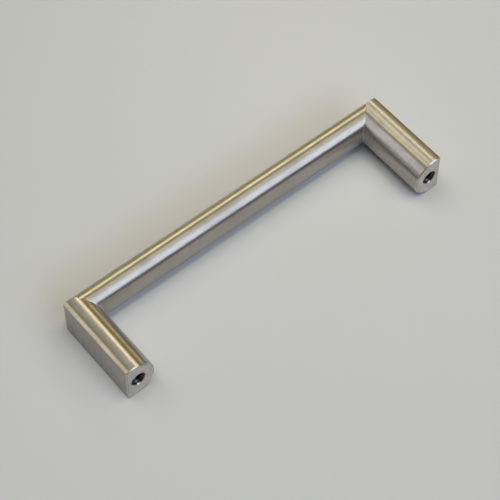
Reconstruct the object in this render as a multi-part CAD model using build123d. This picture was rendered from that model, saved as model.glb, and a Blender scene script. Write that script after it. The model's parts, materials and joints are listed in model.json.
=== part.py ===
from build123d import *
import math
import os

# Mitred bridge pull handle, cast and brushed as one solid piece of metal.
# The handle lies with its two posts level, as it sits on a drawer front:
# +X runs along the grip, +Z is up and +Y points from the grip into the drawer.
# The origin is midway between the two fixing holes, in the plane of the post ends.
# All sizes are in millimetres.

# Layout
HOLE_SPACING = 96.0        # centre to centre of the two fixing screws
HOLE_TO_OUTSIDE = 3.4      # from a hole's centre to the outer side of its post
PROJECTION = 26.0          # from the post ends to the outer face of the grip

# Sections: a round bar with one flat, which faces outwards all round the handle
BAR_DIAMETER = 12.4        # the round bar that both sections are cut from
POST_DEPTH = 8.3           # from a post's flat to its round side
GRIP_DEPTH = 5.3           # from the grip's flat to its round side
FLAT_EDGE_RADIUS = 0.25    # rounding of the long edges beside the flats
END_EDGE_RADIUS = 0.35     # rounding round both ends of each post

# Fixing holes, tapped for M4 screws
THREAD_DIAMETER = 4.0
THREAD_DEPTH = 14.0        # full diameter, from the post's end
COUNTERSINK_DIAMETER = 4.5
COUNTERSINK_ANGLE = 90.0
DRILL_POINT_ANGLE = 118.0

# Derived sizes
BAR_RADIUS = BAR_DIAMETER / 2
OVERALL_LENGTH = HOLE_SPACING + 2 * HOLE_TO_OUTSIDE
OUTER_SIDE_X = OVERALL_LENGTH / 2
GRIP_FACE_Y = -PROJECTION
POST_AXIS_X = OUTER_SIDE_X - (POST_DEPTH - BAR_RADIUS)


def cone_height(radius, full_angle):
    """Height of a cone with this base radius and full opening angle."""
    return radius / math.tan(math.radians(full_angle / 2))


def flat_sided_section(depth):
    """Round section cut to the given depth; the flat lies on Y = 0, the round side at Y = depth."""
    bar = Pos(0, depth - BAR_RADIUS) * Circle(BAR_RADIUS)
    keep = Pos(0, depth) * Rectangle(2 * BAR_DIAMETER, 2 * depth)
    section = bar & keep
    return fillet(section.vertices(), FLAT_EDGE_RADIUS)


def post(side):
    """One post, on the side -1 (left) or +1 (right), from the grip's outer face to the mounting plane."""
    plane = Plane(
        origin=(side * OUTER_SIDE_X, GRIP_FACE_Y, 0),
        x_dir=(0, 0, -side),
        z_dir=(0, 1, 0),
    )
    solid = extrude(plane * flat_sided_section(POST_DEPTH), PROJECTION)
    end_edges = solid.faces().filter_by(Axis.Y).edges()
    return fillet(end_edges, END_EDGE_RADIUS)


def grip():
    """The grip, running between the axes of the two posts."""
    plane = Plane(
        origin=(-POST_AXIS_X, GRIP_FACE_Y, 0),
        x_dir=(0, 0, -1),
        z_dir=(1, 0, 0),
    )
    return extrude(plane * flat_sided_section(GRIP_DEPTH), 2 * POST_AXIS_X)


def fixing_hole():
    """Tapped blind hole, bored along -Z from the origin: countersunk mouth, bore and drill point."""
    thread_radius = THREAD_DIAMETER / 2
    mouth_radius = COUNTERSINK_DIAMETER / 2
    sink_depth = cone_height(mouth_radius, COUNTERSINK_ANGLE) - cone_height(thread_radius, COUNTERSINK_ANGLE)
    point_depth = THREAD_DEPTH + cone_height(thread_radius, DRILL_POINT_ANGLE)
    profile = Polyline(
        (0, 0),
        (mouth_radius, 0),
        (thread_radius, -sink_depth),
        (thread_radius, -THREAD_DEPTH),
        (0, -point_depth),
        close=True,
    )
    return revolve(Plane.XZ * make_face(profile), Axis.Z)


def handle():
    """The whole handle in one piece."""
    body = grip() + post(-1) + post(1)
    mouth = Plane(origin=(0, 0, 0), x_dir=(1, 0, 0), z_dir=(0, 1, 0))
    for side in (-1, 1):
        body -= Pos(side * HOLE_SPACING / 2, 0, 0) * mouth * fixing_hole()
    return body


os.makedirs("parts", exist_ok=True)
pull_handle = handle()
pull_handle.label = "pull_handle"
export_step(pull_handle, "parts/pull_handle.step")
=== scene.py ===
import json
import math

import bmesh
import bpy
from mathutils import Matrix, Vector


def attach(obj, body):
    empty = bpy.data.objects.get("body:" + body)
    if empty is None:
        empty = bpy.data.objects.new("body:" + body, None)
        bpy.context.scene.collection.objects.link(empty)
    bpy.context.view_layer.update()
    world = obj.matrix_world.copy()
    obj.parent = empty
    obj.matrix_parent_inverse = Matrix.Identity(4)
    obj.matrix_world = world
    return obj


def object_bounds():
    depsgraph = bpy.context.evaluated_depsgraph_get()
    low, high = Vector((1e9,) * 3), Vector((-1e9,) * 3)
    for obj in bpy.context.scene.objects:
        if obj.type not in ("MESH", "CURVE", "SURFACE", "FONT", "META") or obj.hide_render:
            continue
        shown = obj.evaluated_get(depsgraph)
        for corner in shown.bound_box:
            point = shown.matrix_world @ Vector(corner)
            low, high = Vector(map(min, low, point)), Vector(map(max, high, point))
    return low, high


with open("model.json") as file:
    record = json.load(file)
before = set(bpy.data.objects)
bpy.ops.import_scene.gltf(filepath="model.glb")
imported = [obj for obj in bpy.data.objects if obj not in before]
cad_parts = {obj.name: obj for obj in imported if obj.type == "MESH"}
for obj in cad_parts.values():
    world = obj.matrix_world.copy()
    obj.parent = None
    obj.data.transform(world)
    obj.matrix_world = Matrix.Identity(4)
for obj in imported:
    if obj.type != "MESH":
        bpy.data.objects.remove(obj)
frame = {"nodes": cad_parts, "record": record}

# Looks for the bridge pull handle: brushed warm metal, tapped holes, a pale floor and soft studio light.
# Lengths are metres unless a name ends in _MM or a comment says otherwise.

MM = 0.001
BODY = "root"
NODE = "pull_handle"

cad_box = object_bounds()
low, high = cad_box
mounts = {m["name"]: m for m in frame["record"]["mounts"]}

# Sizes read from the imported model
OUTER_X_MM = high.x / MM              # outer sides of the posts
FACE_Y_MM = low.y / MM                # outer face of the grip
THREAD_R_MM = mounts["hole_left"]["dims"]["r_mm"]
THREAD_LENGTH_MM = mounts["hole_left"]["dims"]["length_mm"]
HOLE_X_MM = abs(mounts["hole_right"]["pos_m"][0]) / MM

# Section sizes of the solid
POST_DEPTH_MM = 8.3                   # from a post's flat to its round side
GRIP_DEPTH_MM = 5.3                   # from the grip's flat to its round side
MITRE_LEAD_MM = GRIP_DEPTH_MM - POST_DEPTH_MM    # depth behind the grip's flat less depth behind the post's

# Zones of the metal by the way they face: cosines to an axis between which a zone fades in,
# and for an edge also those between which it fades out
FLAT = (0.93, 0.99)                   # the long flats, to X on a post and to -Y on the grip
END = (0.85, 0.95)                    # the post ends, to +Y
RIM = ((0.10, 0.25), (0.88, 0.96))    # the rounding of the post ends, to +Y
POST_EDGE = ((0.38, 0.50), (0.90, 0.98))         # the rounding beside a post's flat, to X
GRIP_EDGE = ((0.0, 0.15), (0.90, 0.98))          # the rounding beside the grip's flat, to -Y
OUTER_FACE = 0.9                      # past this cosine to -Y a point is on the handle's outer face
INNER_FACE = 0.2                      # below this cosine to -Y it is on the rounded side

# Zones of the metal by place
END_ZONE_MM = (-0.6, -0.4)            # y between which the zone of the post ends fades in
EDGE_DEPTH_MM = 0.5                   # the roundings beside the flats lie within this depth
BORE_TOP_MM = -0.02                   # y just inside the mouth
DRILL_POINT_MM = 2.0                  # the bore goes on this far beyond its thread
BORE_MARGIN_MM = 0.06                 # slack between the bore's radius and its zone
MOUTH_MARGIN_MM = 0.4                 # no rubbed, painted-bright edge this close to the bore
MITRE_WIDTH_MM = (0.30, 0.10)         # half widths of the painted glint along the mitre line: in all, and where it is full
MITRE_TOP_MM = (5.4, 4.2)             # heights between which the painted glint on the mitre line fades out, upwards

# One pit in the metal, on the rounded side of the grip
PIT_PLACE_MM = (-39.5, -22.4, 4.3)
PIT_R_MM = 0.13

# How rough the metal is
ROUGH_BAR = 0.31                      # along the bar, at the least
ROUGH_END = 0.44                      # post ends, at the least
ROUGH_BORE = 0.40
ANISOTROPY = 0.97

# Colours of the metal, linear
PALE = (0.53, 0.495, 0.46, 1)         # brush lines at their lightest
DEEP = (0.418, 0.388, 0.357, 1)       # brush lines at their darkest
CLOUD = (0.43, 0.402, 0.37, 1)        # large soft patches
MILLED = (0.375, 0.36, 0.345, 1)      # post ends
MOTTLE = (0.275, 0.252, 0.228, 1)     # fine dark mottling on flats and ends
STAIN = (0.49, 0.43, 0.33, 1)         # tan stains on the ends
RUBBED_AND_HIGHLIGHT = (0.74, 0.725, 0.70, 1)       # edges: rubbed brighter, and lighter still as a painted highlight
MITRE_GLINT = (0.73, 0.72, 0.705, 1)         # painted glint along the mitre line
# painted shade inside the bores and on their threads
BORE_SHADE = (0.11, 0.11, 0.115, 1)
PIT = (0.06, 0.055, 0.05, 1)

FLOOR_COLOUR = (0.64, 0.655, 0.72, 1)
FLOOR_HALF = 3.0

ALONG_X = (1.0, 0.0, 0.0)
ALONG_Y = (0.0, 1.0, 0.0)
KEY_AXIS = (-0.12, 0.73, 0.67)        # long side of the two key lamps
LEFT_POST = (-0.048, -0.013, 0.0)     # middle of the post at -X, which two small lamps aim at


# ---------------------------------------------------------------- node helpers

class Nodes:
    """Short calls for building one node tree."""

    def __init__(self, tree):
        self.tree = tree
        tree.nodes.clear()

    def new(self, kind, **settings):
        node = self.tree.nodes.new(kind)
        for name, value in settings.items():
            setattr(node, name, value)
        return node

    def set(self, socket, value):
        if isinstance(value, bpy.types.NodeSocket):
            self.tree.links.new(value, socket)
        else:
            socket.default_value = value

    def fill(self, node, values):
        """Set the node's first inputs in order."""
        for socket, value in zip(node.inputs, values):
            self.set(socket, value)
        return node.outputs[0]

    def math(self, operation, a, b=0.0):
        return self.fill(self.new("ShaderNodeMath", operation=operation), (a, b))

    def add(self, a, b):
        return self.math("ADD", a, b)

    def sub(self, a, b):
        return self.math("SUBTRACT", a, b)

    def mul(self, a, b):
        return self.math("MULTIPLY", a, b)

    def above(self, value, bound):
        return self.math("GREATER_THAN", value, bound)

    def below(self, value, bound):
        return self.math("LESS_THAN", value, bound)

    def ramp(self, value, start, end):
        """Smooth step from 0 to 1 as value goes from start to end."""
        return self.fill(self.new("ShaderNodeMapRange", interpolation_type="SMOOTHSTEP"), (value, start, end))

    def band(self, value, rise, fall):
        """1 between two smooth steps, 0 outside them."""
        return self.sub(self.ramp(value, *rise), self.ramp(value, *fall))

    def vector(self, x, y, z):
        return self.fill(self.new("ShaderNodeCombineXYZ"), (x, y, z))

    def split(self, vector):
        node = self.new("ShaderNodeSeparateXYZ")
        self.set(node.inputs[0], vector)
        return tuple(node.outputs)

    def noise(self, where, scale, detail, roughness):
        node = self.new("ShaderNodeTexNoise", noise_dimensions="3D")
        self.set(node.inputs["Vector"], where)
        self.set(node.inputs["Scale"], scale)
        self.set(node.inputs["Detail"], detail)
        self.set(node.inputs["Roughness"], roughness)
        return node.outputs["Fac"]

    def stretched_noise(self, where, scales, detail, roughness):
        """Noise with a scale of its own along each axis."""
        parts = (self.mul(part, scale) for part, scale in zip(where, scales))
        return self.noise(self.vector(*parts), 1.0, detail, roughness)

    def mix(self, factor, a, b):
        """Blend of two colours."""
        node = self.new("ShaderNodeMix", data_type="RGBA")
        self.set(node.inputs[0], factor)
        self.set(node.inputs[6], a)
        self.set(node.inputs[7], b)
        return node.outputs[2]

    def blend(self, factor, a, b):
        """Blend of two numbers."""
        node = self.new("ShaderNodeMix", data_type="FLOAT")
        self.set(node.inputs[0], factor)
        self.set(node.inputs[2], a)
        self.set(node.inputs[3], b)
        return node.outputs[0]


# ---------------------------------------------------------------- materials

class MetalZones:
    """Where a point of the metal is: its place in mm, and masks from 0 to 1 for the parts of the handle."""

    def __init__(self, n):
        x, y, z = (n.mul(part, 1 / MM) for part in n.split(n.new("ShaderNodeTexCoord").outputs["Object"]))
        self.x, self.y, self.z = x, y, z
        normal_x, face_y, _ = n.split(n.new("ShaderNodeNewGeometry").outputs["True Normal"])
        face_x = n.math("ABSOLUTE", normal_x)
        face_out = n.mul(face_y, -1.0)

        # Depth behind the post's flat and behind the grip's flat: their difference tells post from grip
        side_x = n.math("ABSOLUTE", x)
        depth_x = n.sub(OUTER_X_MM, side_x)
        depth_y = n.sub(y, FACE_Y_MM)
        lead = n.sub(depth_y, depth_x)
        self.on_post = n.mul(n.above(lead, MITRE_LEAD_MM), n.sub(1.0, n.above(face_out, OUTER_FACE)))
        self.on_flat = n.math("MAXIMUM", n.ramp(face_x, *FLAT), n.ramp(face_out, *FLAT))
        near_end = n.ramp(y, *END_ZONE_MM)
        self.on_end = n.mul(n.ramp(face_y, *END), near_end)

        # The bores, painted dark as shade
        hole_x = n.sub(side_x, HOLE_X_MM)
        hole_r = n.math("SQRT", n.add(n.math("POWER", hole_x, 2.0), n.math("POWER", z, 2.0)))
        bored = n.mul(n.below(y, BORE_TOP_MM), n.above(y, -THREAD_LENGTH_MM - DRILL_POINT_MM))
        self.in_bore = n.mul(n.below(hole_r, THREAD_R_MM + BORE_MARGIN_MM), bored)

        # Rounded edges, rubbed brighter by handling and painted lighter as a highlight: end rims, then the
        # long edges of the flats
        rim = n.mul(near_end, n.band(face_y, *RIM))
        self.rim = n.mul(rim, n.above(hole_r, THREAD_R_MM + MOUTH_MARGIN_MM))
        post_edge = n.mul(n.band(face_x, *POST_EDGE), n.below(depth_x, EDGE_DEPTH_MM))
        grip_edge = n.mul(n.band(face_out, *GRIP_EDGE), n.below(depth_y, EDGE_DEPTH_MM))
        self.edge = n.math("MAXIMUM", self.rim, n.mul(n.math("MAXIMUM", post_edge, grip_edge), 0.45))

        # A painted glint along the mitre line, on the rounded side only
        mitre_glint = n.ramp(n.math("ABSOLUTE", n.sub(lead, MITRE_LEAD_MM)), *MITRE_WIDTH_MM)
        mitre_glint = n.mul(mitre_glint, n.below(face_out, INNER_FACE))
        self.mitre_glint = n.mul(mitre_glint, n.ramp(z, *MITRE_TOP_MM))


def pits(n, place):
    """A sparse scatter of specks, and one clear pit on the grip near the post at -X."""
    cells = n.new("ShaderNodeTexVoronoi", feature="F1")
    n.set(cells.inputs["Vector"], place)
    n.set(cells.inputs["Scale"], 0.42)
    speck = n.ramp(cells.outputs["Distance"], 0.05, 0.03)
    away = n.new("ShaderNodeVectorMath", operation="DISTANCE")
    n.set(away.inputs[0], place)
    n.set(away.inputs[1], PIT_PLACE_MM)
    pit = n.ramp(away.outputs["Value"], 1.3 * PIT_R_MM, 0.8 * PIT_R_MM)
    return n.math("MAXIMUM", pit, speck)


def brushed_metal():
    """Warm satin metal. Brush lines run round the bar; ends are milled; bores are painted dark as shade."""
    material = bpy.data.materials.new("brushed_metal")
    material.use_nodes = True
    n = Nodes(material.node_tree)
    at = MetalZones(n)

    # Brush lines: they change fast along the bar and slowly round it
    bar = (n.blend(at.on_post, at.x, at.y), n.blend(at.on_post, at.y, at.x), at.z)
    fine = n.stretched_noise(bar, (9.0, 0.35, 0.35), detail=3.0, roughness=0.65)
    broad = n.stretched_noise(bar, (2.1, 0.16, 0.16), detail=2.0, roughness=0.5)
    milled = n.stretched_noise((at.x, at.y, at.z), (0.5, 1.0, 7.0), detail=2.0, roughness=0.6)
    line = n.blend(at.on_end, fine, milled)
    tone = n.add(n.mul(line, 0.5), n.mul(broad, 0.5))

    # Marks that have no direction
    place = n.vector(at.x, at.y, at.z)
    cloud = n.noise(place, scale=0.16, detail=3.0, roughness=0.6)
    mottle = n.noise(place, scale=1.1, detail=4.0, roughness=0.7)
    blotch = n.noise(place, scale=0.5, detail=3.0, roughness=0.6)
    patch = n.mul(n.ramp(mottle, 0.42, 0.62), n.math("MAXIMUM", n.mul(at.on_flat, 0.6), at.on_end))
    stain = n.mul(n.ramp(blotch, 0.46, 0.64), at.on_end)
    pit = pits(n, place)

    # Colour. The brush lines are fainter on the grip than on the posts.
    softness = n.blend(at.on_post, 0.28, -0.03)
    colour = n.mix(n.ramp(tone, n.sub(0.30, softness), n.add(0.70, softness)), DEEP, PALE)
    colour = n.mix(n.mul(n.ramp(cloud, 0.45, 0.7), 0.25), colour, CLOUD)
    colour = n.mix(n.mul(at.on_end, 0.85), colour, MILLED)
    colour = n.mix(n.mul(patch, 0.45), colour, MOTTLE)
    colour = n.mix(n.mul(stain, 0.6), colour, STAIN)
    # Rubbed edges, with a painted highlight on the rims and beside the flats
    colour = n.mix(n.mul(at.edge, 0.8), colour, RUBBED_AND_HIGHLIGHT)
    # Painted glint: a light line along the mitre
    colour = n.mix(n.mul(at.mitre_glint, 0.7), colour, MITRE_GLINT)
    # Painted shade: the bores and their threads are darkened
    colour = n.mix(at.in_bore, colour, BORE_SHADE)
    colour = n.mix(n.mul(pit, 0.85), colour, PIT)

    # Roughness
    rough = n.add(ROUGH_BAR, n.mul(tone, 0.10))
    rough = n.add(rough, n.mul(n.ramp(cloud, 0.4, 0.75), 0.05))
    rough = n.add(rough, n.mul(patch, 0.06))
    rough = n.blend(at.on_end, rough, n.add(ROUGH_END, n.mul(mottle, 0.12)))
    rough = n.add(rough, n.mul(at.rim, 0.10))
    rough = n.blend(at.in_bore, rough, ROUGH_BORE)

    # Relief of the brush lines and pits
    bump = n.new("ShaderNodeBump")
    n.set(bump.inputs["Strength"], 0.12)
    n.set(bump.inputs["Distance"], 0.02 * MM)
    n.set(bump.inputs["Height"], n.sub(tone, n.mul(pit, 2.0)))

    shader = n.new("ShaderNodeBsdfPrincipled")
    n.set(shader.inputs["Base Color"], colour)
    n.set(shader.inputs["Metallic"], 1.0)
    n.set(shader.inputs["Roughness"], rough)
    n.set(shader.inputs["Anisotropic"], ANISOTROPY)
    n.set(shader.inputs["Normal"], bump.outputs[0])
    # The blur runs along the bar, square to the brush lines
    n.set(shader.inputs["Tangent"], n.vector(n.sub(1.0, at.on_post), at.on_post, 0.0))
    out = n.new("ShaderNodeOutputMaterial")
    n.set(out.inputs["Surface"], shader.outputs[0])
    return material


def floor_material():
    material = bpy.data.materials.new("pale_floor")
    material.use_nodes = True
    n = Nodes(material.node_tree)
    shader = n.new("ShaderNodeBsdfPrincipled")
    n.set(shader.inputs["Base Color"], FLOOR_COLOUR)
    n.set(shader.inputs["Roughness"], 0.9)
    n.set(shader.inputs["Specular IOR Level"], 0.1)
    out = n.new("ShaderNodeOutputMaterial")
    n.set(out.inputs["Surface"], shader.outputs[0])
    return material


# ---------------------------------------------------------------- pieces

def mesh_object(name, verts, faces, material):
    mesh = bpy.data.meshes.new(name)
    mesh.from_pydata(verts, [], faces)
    mesh.materials.append(material)
    obj = bpy.data.objects.new(name, mesh)
    bpy.context.scene.collection.objects.link(obj)
    return obj


def add_thread(name, centre_x, material):
    """The internal M4 thread: one helical ridge standing in from the bore's wall. Sizes are in mm."""
    pitch, crest_r, root_r = 0.7, 1.62, THREAD_R_MM + 0.02
    half_root, half_crest = 0.31, 0.045          # half widths of the ridge at the wall and at its crest
    first_y, last_y = -0.45, -THREAD_LENGTH_MM + 0.4
    steps = 40                                   # sections in one turn
    run_in = 14                                  # sections over which the ridge rises at either end
    turns = (first_y - last_y) / pitch
    count = int(turns * steps) + 1
    verts, faces = [], []
    for i in range(count):
        angle = 2 * math.pi * i / steps
        y = first_y - pitch * i / steps
        fade = min(1.0, i / run_in, (count - 1 - i) / run_in)
        crest = root_r - (root_r - crest_r) * fade
        for r, dy in ((root_r, half_root), (crest, half_crest), (crest, -half_crest), (root_r, -half_root)):
            verts.append((
                (centre_x + r * math.cos(angle)) * MM,
                (y + dy) * MM,
                r * math.sin(angle) * MM,
            ))
    for i in range(count - 1):
        a, b = 4 * i, 4 * i + 4
        for k in range(4):
            m = (k + 1) % 4
            faces.append((a + k, b + k, b + m, a + m))
    faces.append((3, 2, 1, 0))
    end = 4 * (count - 1)
    faces.append((end, end + 1, end + 2, end + 3))
    obj = mesh_object(name, verts, faces, material)
    bm = bmesh.new()
    bm.from_mesh(obj.data)
    bmesh.ops.recalc_face_normals(bm, faces=bm.faces)
    bm.to_mesh(obj.data)
    bm.free()
    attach(obj, BODY)


def add_floor():
    half, z = FLOOR_HALF, low.z
    corners = [(-half, -half, z), (half, -half, z), (half, half, z), (-half, half, z)]
    mesh_object("floor", corners, [(0, 1, 2, 3)], floor_material())


# ---------------------------------------------------------------- light and camera

def add_softbox(name, direction, axis, size, radiance, colour, aim=(0.0, 0.0, 0.0), distance=2.0,
                lights_floor=True, lights_metal=True):
    """A rectangular lamp that faces the aim point. Its first side follows the given axis.

    The floor shows a lamp by diffuse rays and the metal by glossy ones, so a lamp can serve one alone.
    """
    light = bpy.data.lights.new(name, "AREA")
    light.shape = "RECTANGLE"
    light.size, light.size_y = size
    light.energy = radiance * math.pi * size[0] * size[1]
    light.color = colour
    obj = bpy.data.objects.new(name, light)
    towards = Vector(direction).normalized()
    along = Vector(axis)
    along = (along - towards * towards.dot(along)).normalized()
    turn = Matrix((along, towards.cross(along), towards)).transposed()
    obj.location = Vector(aim) + towards * distance
    obj.rotation_euler = turn.to_euler()
    obj.visible_camera = False
    obj.visible_diffuse = lights_floor
    obj.visible_glossy = lights_metal
    bpy.context.scene.collection.objects.link(obj)


def add_lamps():
    # Bands along the posts, from the far side over to the near side
    add_softbox("gold_low", (-0.886, -0.45, 0.198), ALONG_Y, (1.4, 0.42), 1.83, (1.0, 0.81, 0.385),
                lights_floor=False)
    add_softbox("gold_mid", (-0.705, -0.45, 0.571), ALONG_Y, (1.4, 0.55), 0.61, (1.0, 0.75, 0.35),
                lights_floor=False)
    add_softbox("key", (-0.455, -0.47, 0.755), KEY_AXIS, (0.27, 0.076), 1.83, (1.0, 0.857, 0.51),
                aim=LEFT_POST, distance=0.38, lights_floor=False)
    add_softbox("key_low", (-0.457, -0.83, 0.32), KEY_AXIS, (0.8, 0.24), 3.66, (1.0, 0.885, 0.66),
                lights_floor=False)
    add_softbox("strip_right", (0.176, -0.40, 0.90), ALONG_Y, (1.6, 0.28), 2.55, (1.0, 0.925, 0.695))
    add_softbox("near", (-0.055, -0.42, 0.905), ALONG_Y, (0.074, 0.033), 1.95, (1.0, 0.915, 0.64),
                aim=LEFT_POST, distance=0.12)
    add_softbox("side_near", (0.384, -0.45, 0.822), ALONG_Y, (1.2, 0.60), 1.04, (1.0, 0.94, 0.82))
    add_softbox("side", (0.70, -0.45, 0.577), ALONG_Y, (0.9, 1.20), 3.25, (0.90, 0.915, 0.955),
                lights_floor=False)
    add_softbox("side_low", (0.88, -0.45, 0.165), ALONG_Y, (0.9, 0.56), 1.5, (0.88, 0.92, 1.0),
                lights_floor=False)

    # Bands along the grip
    add_softbox("strip_across", (-0.25, 0.163, 0.95), ALONG_X, (2.6, 0.32), 3.6, (1.0, 0.925, 0.57))
    add_softbox("window_top", (-0.342, 0.54, 0.77), ALONG_X, (1.2, 0.76), 2.44, (1.0, 0.96, 0.85))
    add_softbox("window", (-0.342, 0.818, 0.462), ALONG_X, (1.05, 0.96), 5.1, (0.74, 0.84, 1.0),
                lights_floor=False)

    # Two lamps for the floor alone: one overhead keeps the shadow narrow, a low cool one fills it
    add_softbox("floor_high", (0.04, -0.03, 1.0), ALONG_X, (1.4, 1.0), 2.4, (1.0, 0.985, 0.86),
                lights_metal=False)
    add_softbox("floor_low", (0.0, 0.81, 0.587), ALONG_X, (1.4, 0.6), 4.3, (0.53, 0.70, 1.0),
                lights_metal=False)


def add_world():
    """A dim warm surround."""
    world = bpy.data.worlds.new("studio")
    bpy.context.scene.world = world
    world.use_nodes = True
    n = Nodes(world.node_tree)
    back = n.new("ShaderNodeBackground")
    n.set(back.inputs["Color"], (1.0, 0.80, 0.50, 1))
    n.set(back.inputs["Strength"], 0.05)
    out = n.new("ShaderNodeOutputWorld")
    n.set(out.inputs["Surface"], back.outputs[0])


def add_camera():
    azimuth, elevation = math.radians(140.7), math.radians(56.2)
    distance = 0.4518
    target = Vector((2.98, -12.14, 0.0)) * MM
    towards = Vector((
        math.sin(azimuth) * math.cos(elevation),
        -math.cos(azimuth) * math.cos(elevation),
        math.sin(elevation),
    ))
    data = bpy.data.cameras.new("camera")
    data.lens = 127.2
    data.sensor_width = 36.0
    data.clip_start = 0.01
    camera = bpy.data.objects.new("camera", data)
    camera.location = target + towards * distance
    camera.rotation_euler = towards.to_track_quat("Z", "Y").to_euler()
    bpy.context.scene.collection.objects.link(camera)
    bpy.context.scene.camera = camera


# ---------------------------------------------------------------- build

metal = brushed_metal()
handle = frame["nodes"][NODE]
for slot in handle.material_slots:
    slot.material = metal
add_thread("thread_left", -HOLE_X_MM, metal)
add_thread("thread_right", HOLE_X_MM, metal)
add_floor()
add_lamps()
add_world()
add_camera()

scene = bpy.context.scene
scene.view_settings.view_transform = "Standard"
